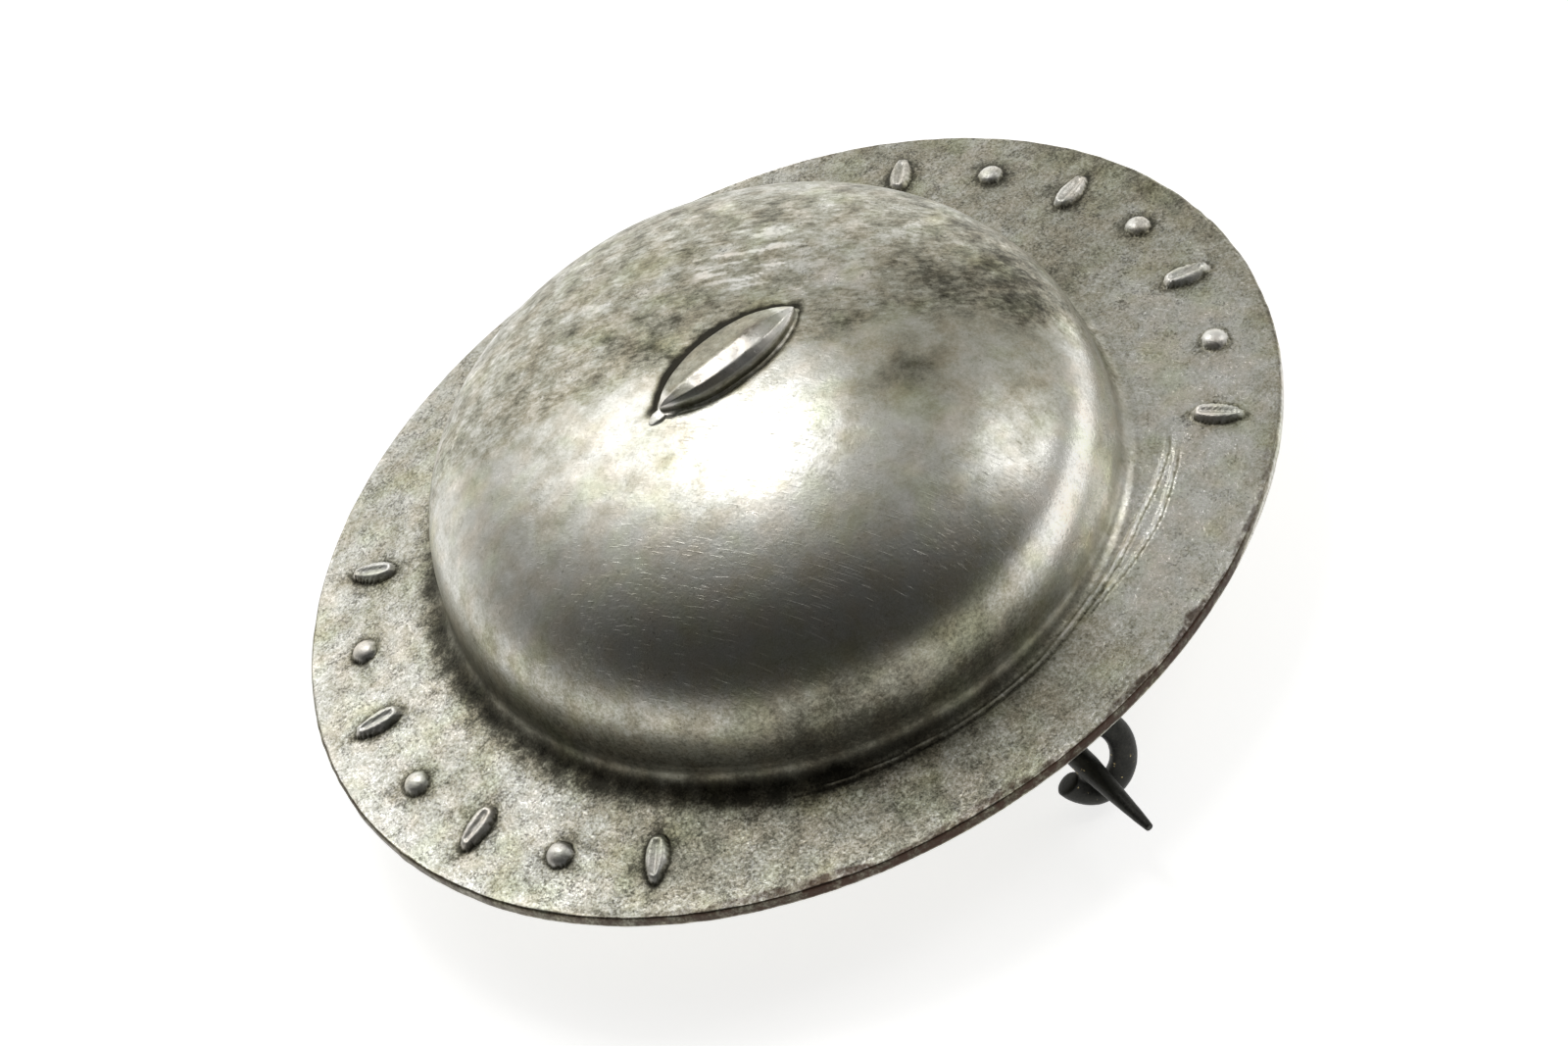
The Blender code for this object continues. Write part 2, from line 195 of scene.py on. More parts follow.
def lattice(ix, iy, iz, seed):
    """A fixed random value from -1 to 1 at each lattice point."""
    mixed = (ix * 374761393 + iy * 668265263 + iz * 1103515245 + seed * 974634777) & 0xFFFFFFFF
    mixed = ((mixed ^ (mixed >> 13)) * 1274126177) & 0xFFFFFFFF
    return ((mixed ^ (mixed >> 16)) & 0xFFFF) / 32767.5 - 1.0


def noise(points, size, seed, octaves=1):
    """Smooth noise of about -1 to 1 with features of this size, at points in millimetres."""
    total = np.zeros(len(points))
    weight, reach = 1.0, 0.0
    for octave in range(octaves):
        scaled = points / size * 2**octave + 31.7 * (octave + 1)
        cell = np.floor(scaled).astype(np.int64)
        part = scaled - cell
        part = part * part * (3 - 2 * part)
        value = np.zeros(len(points))
        for corner in range(8):
            dx, dy, dz = corner & 1, corner >> 1 & 1, corner >> 2 & 1
            share = (
                (part[:, 0] if dx else 1 - part[:, 0])
                * (part[:, 1] if dy else 1 - part[:, 1])
                * (part[:, 2] if dz else 1 - part[:, 2])
            )
            value += share * lattice(cell[:, 0] + dx, cell[:, 1] + dy, cell[:, 2] + dz, seed + octave)
        total += weight * value
        reach += weight
        weight *= 0.5
    return total / reach


def ramp(value, low, high):
    """0 below low, 1 above high, smooth between."""
    part = np.clip((value - low) / (high - low), 0, 1)
    return part * part * (3 - 2 * part)


def bump(value, width):
    """1 at 0, falling off smoothly over this width on both sides."""
    return np.exp(-((value / width) ** 2))


# ---------------------------------------------------------------- meshes


def solid(name, points, quads, tris=(), facts=None):
    """A smooth mesh object from arrays. Points are in millimetres, with height 0 at the brim."""
    quads = np.asarray(quads, np.int32).reshape(-1, 4)
    tris = np.asarray(tris, np.int32).reshape(-1, 3)
    mesh = bpy.data.meshes.new(name)
    mesh.vertices.add(len(points))
    placed = (np.asarray(points) + ORIGIN) * MM
    mesh.vertices.foreach_set("co", placed.astype(np.float32).ravel())
    mesh.loops.add(quads.size + tris.size)
    mesh.loops.foreach_set("vertex_index", np.concatenate([quads.ravel(), tris.ravel()]))
    mesh.polygons.add(len(quads) + len(tris))
    starts = np.concatenate([np.arange(len(quads)) * 4, quads.size + np.arange(len(tris)) * 3])
    mesh.polygons.foreach_set("loop_start", starts.astype(np.int32))
    mesh.polygons.foreach_set("use_smooth", np.ones(len(starts), bool))
    mesh.update(calc_edges=True)
    for key, values in (facts or {}).items():
        record(mesh, key, values)
    obj = bpy.data.objects.new(name, mesh)
    bpy.context.scene.collection.objects.link(obj)
    return obj


def record(mesh, key, values):
    """A value at each vertex, which the materials read by this name."""
    layer = mesh.attributes.new(key, "FLOAT", "POINT")
    layer.data.foreach_set("value", np.asarray(values, np.float32))


def rings(count, columns, first=0, closed=True):
    """Quads between rings of columns points."""
    j = np.arange(columns if closed else columns - 1)
    k = np.arange(count - 1)[:, None] * columns + first
    after = (j + 1) % columns
    return np.stack([k + j, k + columns + j, k + columns + after, k + after], -1).reshape(-1, 4)


# ---------------------------------------------------------------- shell


def evenly(points, spacing):
    """The same line with points at an even spacing."""
    points = np.asarray(points, float)
    steps = np.hypot(*np.diff(points, axis=0).T)
    along = np.concatenate([[0], np.cumsum(steps)])
    wanted = np.linspace(0, along[-1], max(2, int(round(along[-1] / spacing)) + 1))
    return np.stack([np.interp(wanted, along, points[:, i]) for i in (0, 1)], 1)


def normals_of(line):
    """The outward normal at each point of a profile that runs from the top outwards."""
    run = np.gradient(line, axis=0)
    run /= np.hypot(run[:, 0], run[:, 1])[:, None]
    return np.stack([-run[:, 1], run[:, 0]], 1)


def upper_line():
    """The shell's upper surface from the crown's top to the brim's edge."""
    low = BRIM_RISE + FOOT_FILLET
    last = math.acos((low / CROWN_HEIGHT) ** (CROWN_SQUARENESS / 2))
    angle = np.linspace(0, last, 400)
    crown = np.stack(
        [CROWN_RADIUS * np.sin(angle), CROWN_HEIGHT * np.cos(angle) ** (2 / CROWN_SQUARENESS)], 1
    )
    turn = np.radians(np.linspace(0, 82, 40))
    fillet = np.stack(
        [CROWN_RADIUS + FOOT_FILLET * (1 - np.cos(turn)), low - FOOT_FILLET * np.sin(turn)], 1
    )
    part = np.linspace(0.04, 1, 80)
    edge = BRIM_HALF_LENGTH - EDGE_ROUND_TOP
    reach = fillet[-1, 0] + (edge - fillet[-1, 0]) * part
    slope = np.stack([reach, fillet[-1, 1] * (1 - part) ** 1.3], 1)
    return evenly(np.concatenate([crown, fillet[1:], slope]), TOP_SPACING)


def shell_line():
    """The whole closed profile with its normals, and where the edge and the underside start."""
    top = upper_line()
    turn = np.radians(np.linspace(12, 90, 6))
    across = BRIM_HALF_LENGTH - EDGE_ROUND_TOP * (1 - np.sin(turn))
    round_top = np.stack([across, EDGE_ROUND_TOP * (np.cos(turn) - 1)], 1)
    side = np.array([[BRIM_HALF_LENGTH, z] for z in (-0.17, -0.24, -0.31, -0.38)])
    turn = np.radians(np.linspace(0, 90, 4))
    across = BRIM_HALF_LENGTH - EDGE_ROUND_LOW * (1 - np.cos(turn))
    round_low = np.stack([across, -SHEET + EDGE_ROUND_LOW * (1 - np.sin(turn))], 1)
    edge = np.concatenate([round_top, side, round_low[1:]])
    under = top - normals_of(top) * SHEET
    under = under[under[:, 0] < LAND]
    under[0, 0] = 0
    under = np.concatenate([under, [[LAND, -SHEET], [BRIM_HALF_LENGTH - 0.2, -SHEET]]])
    under = evenly(under, UNDER_SPACING)[::-1]
    line = np.concatenate([top, edge, under])
    return line, normals_of(line), len(top), len(top) + len(edge)


def width_factor(radius):
    """How much wider or narrower than long the shell's plan is at this radius."""
    edge = BRIM_HALF_WIDTH / BRIM_HALF_LENGTH
    part = np.clip((radius - CROWN_RADIUS + 1) / (FOOT - CROWN_RADIUS + 1), 0, 1)
    part = part * part * (3 - 2 * part)
    inner = CROWN_WIDENING + (1.004 - CROWN_WIDENING) * part
    outer = 1.004 + (edge - 1.004) * (radius - FOOT) / (BRIM_HALF_LENGTH - FOOT)
    return np.where(radius <= FOOT, inner, outer)


def crown_shift(radius):
    """How far the crown's plan is moved along the long axis, fading to nothing at the brim's edge."""
    part = np.clip((BRIM_HALF_LENGTH - radius) / (BRIM_HALF_LENGTH - FOOT), 0, 1)
    return CROWN_SHIFT * part


def to_plan(radius, height, theta):
    """Points on the shell from the profile's radius and height and the angle round it."""
    x = radius * np.cos(theta) + crown_shift(radius)
    y = radius * np.sin(theta) * width_factor(radius)
    return np.stack([x, y, height], -1)


def mark_places():
    """Each mark's centre and direction, and whether it is a leaf or a bead."""
    long, wide = BRIM_HALF_LENGTH - MARK_INSET, BRIM_HALF_WIDTH - MARK_INSET
    for end in (180.0, 0.0):
        for i in range(MARK_COUNT):
            angle = math.radians(end + (i - (MARK_COUNT - 1) / 2) * MARK_SPREAD)
            x, y = long * math.cos(angle), wide * math.sin(angle)
            yield x, y, math.atan2(y * long / wide, x * wide / long), i % 2 == 0


def mark_relief(points):
    """Height of the raised marks, and the distance from the nearest mark's outline."""
    height = np.zeros(len(points))
    away = np.full(len(points), FAR_AWAY)
    for x, y, turn, leaf in mark_places():
        dx, dy = points[:, 0] - x, points[:, 1] - y
        near = np.where(dx * dx + dy * dy < 4.0)[0]
        u = dx[near] * math.cos(turn) + dy[near] * math.sin(turn)
        v = -dx[near] * math.sin(turn) + dy[near] * math.cos(turn)
        if leaf:
            half = LEAF_LENGTH / 2
            share = np.clip(1 - (u / half) ** 2, 0, 1)
            wide = LEAF_WIDTH / 2 * share**0.8 * (1 - 0.18 * u / half) + 0.02
            reach = np.maximum(np.abs(v) / wide, np.abs(u) / half)
            rise = ramp(1 - reach, 0.0, 0.34)
            vein = 0.5 * bump(v, 0.07) * ramp(0.74 - np.abs(u) / half, 0, 0.2)
            rise = rise * (1 - vein)
            beyond = np.maximum(np.abs(u) - half, 0)
            distance = np.hypot(np.maximum(np.abs(v) - wide, 0), beyond * 0.9)
            distance = np.where(reach < 1, -0.05, distance)
        else:
            reach = np.hypot(u, v) / (BEAD_WIDTH / 2)
            rise = np.sqrt(np.clip(1 - reach**2, 0, 1)) * 1.05
            rise = rise * ramp(1 - reach, 0, 0.12)
            distance = (reach - 1) * BEAD_WIDTH / 2
        height[near] = np.maximum(height[near], rise * MARK_RELIEF)
        away[near] = np.minimum(away[near], distance)
    return height, away


def turned(points, degrees):
    """Distances along and across a direction in the plan."""
    turn = math.radians(degrees)
    run = points[:, 0] * math.cos(turn) + points[:, 1] * math.sin(turn)
    return run, points[:, 1] * math.cos(turn) - points[:, 0] * math.sin(turn)


def arc_window(theta_degrees, start, end, fade):
    """1 between two angles and 0 outside, with soft ends. The angles run anticlockwise."""
    span = (end - start) % 360
    at = (theta_degrees - start) % 360
    at = np.where(at > 180 + span / 2, at - 360, at)
    return ramp(at, -fade, fade) * ramp(span - at, -fade, fade)


def press_lines(flat, foot_gap, degrees):
    """Height of the lines that the press tool left round the crown's foot, doubled at one side."""
    wander = 0.05 * noise(flat, 3.0, 21)
    main_line = foot_gap - np.interp(degrees, *zip(*TOOL_LINE)) - wander
    second_line = foot_gap - np.interp(degrees, *zip(*TOOL_LINE_SECOND)) + wander
    single = arc_window(degrees, *TOOL_ARC)
    doubled = arc_window(degrees, *SECOND_TOOL_ARC)
    tool = bump(main_line, 0.05) * single * 0.08
    tool += bump(second_line, 0.045) * doubled * 0.07
    tool -= bump(main_line - 0.13, 0.06) * single * 0.04
    tool -= bump(second_line - 0.12, 0.05) * doubled * 0.035
    return tool


def recess_patina_and_shade(flat, height, degrees, foot_gap, fringe, relief, away, top):
    """The dark patina in the crown's foot, round the marks and round the comb; in the foot and on the front
    of its fillet the dark is partly painted shade.
    """
    near = arc_window(degrees, *NEAR_END)
    groove = bump(foot_gap + 0.38, 0.5) * (0.16 + 0.36 * near) * (1 + 0.3 * fringe)
    groove += bump(foot_gap - 0.15, 0.36 + 0.12 * near) * (0.05 + 0.13 * near) * (1 + 1.4 * fringe)
    groove *= 1 - 0.85 * arc_window(degrees, *FLOWING_FOOT)
    # a darker band on the front of the foot's fillet: patina, partly painted shade
    groove += 0.22 * bump(foot_gap + 0.6, 0.3) * arc_window(degrees, *DARK_FILLET)
    marked = np.where(away > 0, bump(away, 0.11), 0.9 * ramp(0.3 - relief / MARK_RELIEF, 0, 0.3))
    marked = 0.34 * marked + 0.13 * bump(np.maximum(away, 0), 0.45) * (1 + fringe)
    outside = np.abs(flat[:, 1]) - comb_half_width(flat[:, 0])
    outside = np.hypot(outside, np.maximum(np.abs(flat[:, 0]) - COMB_LENGTH / 2, 0))
    behind = ramp(flat[:, 1], -0.3, 0.5)
    comb_ring = bump(outside - 0.14 - 0.22 * behind, 0.12 + 0.12 * behind) * (0.35 + 0.6 * behind)
    comb_ring *= (height > COMB_ZONE) * (1 + 0.5 * fringe)
    return np.maximum.reduce([groove, marked * top, comb_ring])


def surface_age_and_shade(flat, height, degrees, crown):
    """How far the open surface has gone grey; the crown's back half darker, painted shade with tarnish
    streaks; and painted light and shade on parts of the crown's wall and in patches.
    """
    near_end = ramp(-flat[:, 0], 11, 15)
    brim_age = 0.33 - 0.07 * near_end + 0.12 * arc_window(degrees, *BRIM_FRONT)
    brim_age -= 0.08 * arc_window(degrees, *FLOWING_FOOT)
    brim_age += 0.08 * arc_window(degrees, *BRIM_FAR)
    age_and_shade = brim_age + (0.25 - brim_age) * crown
    # The crown's back half is darker: painted shade, and it carries tarnish streaks
    back, _ = turned(flat + [1.0, 0.0, 0.0], BACK_SHADE_LINE)
    tarnish_and_shade = ramp(back + 0.8 * noise(flat, 1.6, 44, 3), -0.2, 1.6) * crown
    age_and_shade += 0.17 * tarnish_and_shade
    # The crown's wall is darker low on the near and front sides. Low on the right it is painted lighter and
    # high on the right painted darker: painted light and shade in place of the reflections there.
    low_wall = ramp(height, 0.8, 2.0) * ramp(5.6 - height, 0, 2.0) * crown
    age_and_shade += 0.14 * low_wall * arc_window(degrees, *WALL_NEAR)
    age_and_shade += 0.16 * low_wall * arc_window(degrees, *WALL_FRONT)
    age_and_shade -= 0.22 * low_wall * arc_window(degrees, *WALL_RIGHT)
    age_and_shade += 0.2 * bump(height - 5.4, 1.1) * crown * arc_window(degrees, *HIGH_WALL_RIGHT)
    # darker and lighter patches: partly tarnish, partly painted shade and painted highlight
    for x, y, size, amount in TARNISH_AND_SHADE_PATCHES:
        gap = np.hypot(flat[:, 0] - x, flat[:, 1] - y)
        age_and_shade += amount * bump(gap, size) * (1 + 0.7 * noise(flat, 1.3, 50, 3)) * crown
    return age_and_shade, tarnish_and_shade, low_wall


def burnish(flat, radius, relief, tool):
    """Where the metal is rubbed bright: the marks, the press lines, some strokes and the brim's edge."""
    run, side = turned(flat, STREAK_TURN)
    lines = np.stack([run / 1.3, side / 0.16, np.zeros(len(run))], 1)
    rubbed = ramp(noise(lines, 1.0, 61, 2), 0.14, 0.28)
    patch = bump(np.hypot(flat[:, 0] - STREAK_PLACE[0], flat[:, 1] - STREAK_PLACE[1]), 2.3)
    marks = ramp(relief / MARK_RELIEF, 0.08, 0.5) * 0.95
    pressed = ramp(tool, 0.02, 0.06) * 0.8
    strokes = rubbed * ramp(patch, 0.3, 0.7) * 0.85
    edge = 0.1 * ramp(radius, BRIM_HALF_LENGTH - 0.9, BRIM_HALF_LENGTH - 0.12)
    return np.maximum.reduce([marks, pressed, strokes, edge])


def edge_stain(around, radius, height, degrees, cut, top):
    """The brown of the cut edge, which spreads onto the top in ragged patches in front."""
    depth = -height / SHEET
    ragged = 0.16 * noise(around, 0.5, 71, 3)
    front = arc_window(degrees, *BROWN_EDGE)
    dark_edge = arc_window(degrees, *DARK_CUT_EDGE)
    line_low = 0.1 + 0.75 * dark_edge + ragged
    on_edge = ramp(line_low - depth, -0.06, 0.06) * (0.3 + 0.35 * dark_edge + 0.35 * front * dark_edge)
    stain_reach = 0.3 + 1.1 * front * np.maximum(0, 0.35 + noise(around, 1.9, 73, 2))
    stain_from = BRIM_HALF_LENGTH - stain_reach + 1.4 * ragged
    on_top = ramp(radius, stain_from, stain_from + 0.3 * stain_reach) * (0.1 + 0.75 * front)
    return np.where(cut, on_edge, np.where(top, on_top, 0.15))


def make_shell():
    """The whole pressing as one closed mesh, with the facts for the patina and for the painted shade and
    light at each vertex.
    """
    line, normals, edge_from, under_from = shell_line()
    theta = np.arange(SHELL_COLUMNS) * 2 * math.pi / SHELL_COLUMNS
    inner = line[1:-1]
    radius = np.repeat(inner[:, 0], SHELL_COLUMNS)
    height = np.repeat(inner[:, 1], SHELL_COLUMNS)
    out = np.repeat(normals[1:-1, 0], SHELL_COLUMNS)
    up = np.repeat(normals[1:-1, 1], SHELL_COLUMNS)
    angle = np.tile(theta, len(inner))
    ring = np.repeat(np.arange(1, len(line) - 1), SHELL_COLUMNS)
    flat = to_plan(radius, height, angle)
    degrees = np.degrees(angle)
    top = ring < edge_from
    under = ring >= under_from
    cut = ~top & ~under
    foot_gap = radius - FOOT

    # hand-worked unevenness that both faces share, then the marks and press lines on the upper face
    push = 0.045 * noise(flat, 6.5, 3, 2) + 0.012 * noise(flat, 2.2, 9, 2)
    push *= ramp(BRIM_HALF_LENGTH - radius, 0.0, 1.5)
    relief, away = mark_relief(flat)
    relief = np.where(top, relief, 0)
    away = np.where(top, away, FAR_AWAY)
    tool = press_lines(flat, foot_gap, degrees)
    push = push + relief + np.where(top, tool, 0)

    # worn edge
    rim = ramp(radius, BRIM_HALF_LENGTH - 0.5, BRIM_HALF_LENGTH)
    around = np.stack([flat[:, 0], flat[:, 1], np.zeros(len(flat))], 1)
    edge_wave = 0.035 * noise(around, 1.6, 5, 2) + 0.02 * noise(around, 0.4, 6)
    radius = radius + rim * (edge_wave - 0.03)
    height = height + np.where(top, rim * 0.035 * noise(around, 2.6, 15, 2), 0)
    points = to_plan(radius + out * push, height + up * push, angle)

    # recesses hold dark patina, in the crown's foot partly painted shade; parts of the crown carry painted
    # shade and light; high spots are burnished
    crown = ramp(FOOT + 0.1 - radius, 0.0, 0.9)
    fringe = noise(flat, 0.5, 40, 3)
    age_and_shade, tarnish_and_shade, low_wall = surface_age_and_shade(flat, height, degrees, crown)
    age_and_shade += recess_patina_and_shade(flat, height, degrees, foot_gap, fringe, relief, away, top)
    age_and_shade += np.where(top, tool < -0.008, 0) * 0.25
    bright = np.where(under, 0, burnish(flat, radius, relief, tool))
    brown = edge_stain(around, radius, height, degrees, cut, top)
    age_and_shade = np.where(cut, 0.3 + 0.5 * brown, age_and_shade)
    age_and_shade = np.where(under, 0.55, age_and_shade)
    far_edge = arc_window(degrees, *FAR_EDGE) * ramp(radius, BRIM_HALF_LENGTH - 1.5, BRIM_HALF_LENGTH)
    age_and_shade += np.where(top, 0.22 * far_edge, 0)
    grainy = np.where(under, 0.8, 1.0 - 0.62 * crown + 0.3 * low_wall)
    specked = 0.55 + 0.45 * fringe + 0.45 * bump(np.maximum(away, 0), 0.4)
    specked += 0.5 * bump(foot_gap, 0.6) * arc_window(degrees, *NEAR_END)
    specked -= 0.3 * arc_window(degrees, *CLEAN_BRIM)
    specked *= 1 - 0.92 * crown + 0.45 * tarnish_and_shade
    specked = np.where(top, specked * (1 - bright), 0.4)

    tip_top = to_plan(np.array([0.0]), np.array([line[0, 1]]), np.array([0.0]))
    tip_under = to_plan(np.array([0.0]), np.array([line[-1, 1]]), np.array([0.0]))
    points = np.concatenate([points, tip_top, tip_under])
    first, last = len(points) - 2, len(points) - 1
    j = np.arange(SHELL_COLUMNS)
    after = (j + 1) % SHELL_COLUMNS
    base = (len(inner) - 1) * SHELL_COLUMNS
    top_fan = np.stack([np.full_like(j, first), j, after], 1)
    under_fan = np.stack([np.full_like(j, last), base + after, base + j], 1)
    facts = {
        "age_and_shade": np.append(age_and_shade, [0.35, 0.55]),
        "bright": np.append(bright, [0, 0]),
        "brown": np.append(brown, [0, 0]),
        "grainy": np.append(grainy, [0.22, 0.8]),
        "specked": np.append(specked, [0.15, 0.4]),
        "tarnish_and_shade": np.append(tarnish_and_shade, [0.5, 0]),
    }
    quads = rings(len(inner), SHELL_COLUMNS)
    return solid("shell_pressing", points, quads, np.concatenate([top_fan, under_fan]), facts)


# ---------------------------------------------------------------- comb


def crown_height(x, y):
    """The height of the crown's upper face over one place in the plan."""
    radius = np.hypot(x - CROWN_SHIFT, y / CROWN_WIDENING)
    return CROWN_HEIGHT * np.clip(1 - (radius / CROWN_RADIUS) ** 2, 0, 1) ** (1 / CROWN_SQUARENESS)


def comb_half_width(x):
    """Half the comb's width at a place along it."""
    part = np.clip(np.abs(x) / (COMB_LENGTH / 2), 0, 1)
    return COMB_WIDTH / 2 * (1 - part**2.3) ** 0.8


def domed_grid(name, x, y, base, rise, facts, lengths, widths):
    """A closed low piece on the crown: a top grid over a bottom grid just below it."""
    top = np.stack([x, y, base + rise], 1)
    low = np.stack([x, y, base - SEAT_SINK], 1)
    count = lengths * widths
    quads = [rings(lengths, widths, closed=False), rings(lengths, widths, count, False)[:, ::-1]]
    k = np.arange(lengths - 1) * widths
    quads.append(np.stack([k + count, k + widths + count, k + widths, k], 1))
    k = k + widths - 1
    quads.append(np.stack([k + widths + count, k + count, k, k + widths], 1))
    j = np.arange(widths - 1)
    quads.append(np.stack([j + 1 + count, j + count, j, j + 1], 1))
    j = j + (lengths - 1) * widths
    quads.append(np.stack([j + count, j + 1 + count, j + 1, j], 1))
    doubled = {key: np.concatenate([values, values]) for key, values in facts.items()}
    return solid(name, np.concatenate([top, low]), np.concatenate(quads), (), doubled)


def make_comb_solder():
    """A thin, uneven bed of solder that runs out from under the comb, with a smear at one end."""
    lengths, widths = COMB_SOLDER_GRID
    x = np.linspace(-COMB_LENGTH / 2 - SOLDER_TAIL, COMB_LENGTH / 2 + SOLDER_MARGIN, lengths)
    t = np.linspace(-1, 1, widths)
    along = np.stack([x, np.zeros(lengths), np.zeros(lengths)], 1)
    margin = SOLDER_MARGIN * (0.75 + 0.5 * noise(along, 0.7, 14, 2))
    smear = ramp(-x, COMB_LENGTH / 2 - 0.5, COMB_LENGTH / 2 - 0.1)
    end = np.clip((x - x[0]) / 0.35, 0, 1) ** 0.5 * np.clip((x[-1] - x) / 0.2, 0, 1) ** 0.5
    half = (comb_half_width(x) + margin * (1 - smear) + 0.26 * smear) * end + 0.004
    half = np.repeat(half, widths)
    x = np.repeat(x, widths)
    across = np.tile(t, lengths)
    y = across * half - 0.05 * np.repeat(smear, widths)
    base = crown_height(x, y)
    flat = np.stack([x, y, base], 1)
    edge = np.sqrt(np.clip(1 - np.abs(across) ** 5, 0, 1)) * np.repeat(end, widths)
    rise = -0.02 + (0.02 + SOLDER_FILM + 0.03) * edge * (1 - 0.35 * np.repeat(smear, widths))
    rise += 0.02 * noise(flat, 0.4, 19, 2) * edge
    pale = 0.55 * np.repeat(smear, widths)
    facts = {
        "age_and_shade": 0.42 - 0.3 * pale + 0.2 * ramp(across, 0.6, 1.0),
        "bright": pale,
        "brown": np.zeros(len(x)),
        "grainy": np.full(len(x), 0.5),
        "specked": np.full(len(x), 0.3),
        "tarnish_and_shade": np.full(len(x), 0.4),
    }
    return domed_grid("comb_solder_bed", x, y, base, rise, facts, lengths, widths)


def make_comb():
    """A pointed oval, higher along an off-centre ridge, with a broad worn facet on the near side."""
    lengths, widths = COMB_GRID
    s = np.linspace(-1, 1, lengths)
    t = np.linspace(-1, 1, widths)
    x = np.repeat(s * COMB_LENGTH / 2 * 0.995, widths)
    across = np.tile(t, lengths)
    half = comb_half_width(x)
    y = across * half
    fullness = np.clip(half / (COMB_WIDTH / 2), 0, 1)
    section = np.interp(across, COMB_STATIONS, COMB_LEVELS)
    for _ in range(3):
        grid = section.reshape(lengths, widths)
        grid = np.pad(grid, ((0, 0), (1, 1)), mode="edge")
        section = ((grid[:, :-2] + grid[:, 1:-1] * 2 + grid[:, 2:]) / 4).ravel()
    base = crown_height(x, y) + 0.04
    flat = np.stack([x, y, base], 1)
    rise = 0.16 + (COMB_HEIGHT + SOLDER_FILM - 0.16) * section * fullness**0.6
    rise += 0.02 * noise(flat, 0.9, 4, 2) + 0.008 * noise(flat, 0.3, 8)
    y = y + 0.02 * noise(flat, 1.1, 12)
    place = x / (COMB_LENGTH / 2) + 0.12 * noise(flat, 0.7, 33)
    wave = 0.07 * noise(flat, 0.4, 31, 2)
    worn = ramp(across + wave, -0.78, -0.7) * ramp(-0.16 - across + wave, 0.0, 0.08)
    # The near bevel counts as bright: painted light, lighter in colour where it reflects the dark surround
    # in front.
    bevel = ramp(-across, 0.72, 0.8)
    worn *= ramp(0.34 - place - 0.25 * across, 0, 0.12) * ramp(place + 0.7, 0, 0.12)
    tip = ramp(np.abs(x + 0.1), COMB_LENGTH / 2 - 0.75, COMB_LENGTH / 2 - 0.4)
    stain = bump(np.hypot((x - 1.3) / 0.65, (across + 0.1) / 0.2), 1.0)
    edge = ramp(np.abs(across), 0.9, 1.0) * 0.4
    age_and_shade = 0.3 + 0.18 * ramp(across, -0.2, 0.0) + edge - 0.24 * tip
    facts = {
        "age_and_shade": age_and_shade,
        "bright": np.maximum.reduce([worn, 0.6 * tip, 0.45 * bevel]),
        "brown": 0.75 * stain,
        "grainy": np.full(len(x), 0.35),
        "specked": np.full(len(x), 0.2),
        "tarnish_and_shade": np.full(len(x), 0.3),
    }
    return domed_grid("comb_ridge", x, y, base, rise, facts, lengths, widths)


# ---------------------------------------------------------------- wire


def sweep(name, path, radii, seed, sides=WIRE_SIDES):
    """A drawn wire along a path, with a slightly uneven skin and bluntly cut ends."""
    path, radii = np.asarray(path, float), np.asarray(radii, float)
    run = np.gradient(path, axis=0)
    run /= np.linalg.norm(run, axis=1)[:, None]
    side = np.cross(run[0], [0.0, 0.0, 1.0] if abs(run[0][2]) < 0.9 else [1.0, 0.0, 0.0])
    frames = []
    for direction in run:
        side = side - direction * (side @ direction)
        side /= np.linalg.norm(side)
        frames.append((side, np.cross(direction, side)))
    turn = np.arange(sides) * 2 * math.pi / sides
    loops = []
    for k, (a, b) in enumerate(frames):
        loops.append(path[k] + radii[k] * (np.outer(np.cos(turn), a) + np.outer(np.sin(turn), b)))
    points = np.concatenate(loops)
    centres = np.repeat(path, sides, 0)
    thick = np.repeat(radii, sides)
    skin = 0.022 * noise(points, 0.9, seed, 3) + 0.012 * noise(points, 0.22, seed + 7, 2)
    points = centres + (points - centres) * (1 + skin * WIRE / thick)[:, None]
    quads = [rings(len(path), sides)[:, ::-1]]
    tris = []
    blocks = [points]
    start = len(points)
    for end, sign in ((0, -1), (len(path) - 1, 1)):
        last = end * sides
        rim = points[last : last + sides] - path[end]
        for shrink, push in CUT_END_RINGS:
            ring = path[end] + rim * shrink
            ring = ring + run[end] * sign * push * radii[end]
            blocks.append(ring)
            j = np.arange(sides)
            after = (j + 1) % sides
            quad = np.stack([last + after, start + after, start + j, last + j], 1)
            quads.append(quad if sign > 0 else quad[:, ::-1])
            last = start
            start += sides
        blocks.append((path[end] + run[end] * sign * CUT_END_HEIGHT * radii[end])[None])
        fan = np.stack([last + j, last + (j + 1) % sides, np.full(sides, start)], 1)
        tris.append(fan if sign > 0 else fan[:, ::-1])
        start += 1
    return solid(name, np.concatenate(blocks), np.concatenate(quads), np.concatenate(tris))


def softened(path, passes):
    """The path with its corners eased and its two ends in place."""
    path = np.array(path, float)
    for _ in range(passes):
        path[1:-1] = (path[:-2] + 2 * path[1:-1] + path[2:]) / 4
    return path


def brim_underside(x, y):
    """The height under the brim's slope at one point of the plan."""
    low, high = FOOT, BRIM_HALF_LENGTH
    for _ in range(40):
        middle = (low + high) / 2
        across = (x - float(crown_shift(middle))) / middle
        along = y / (middle * float(width_factor(middle)))
        if math.hypot(across, along) > 1:
            low = middle
        else:
            high = middle
    return BRIM_RISE * max(0.0, (LAND - low) / (LAND - FOOT)) - SHEET


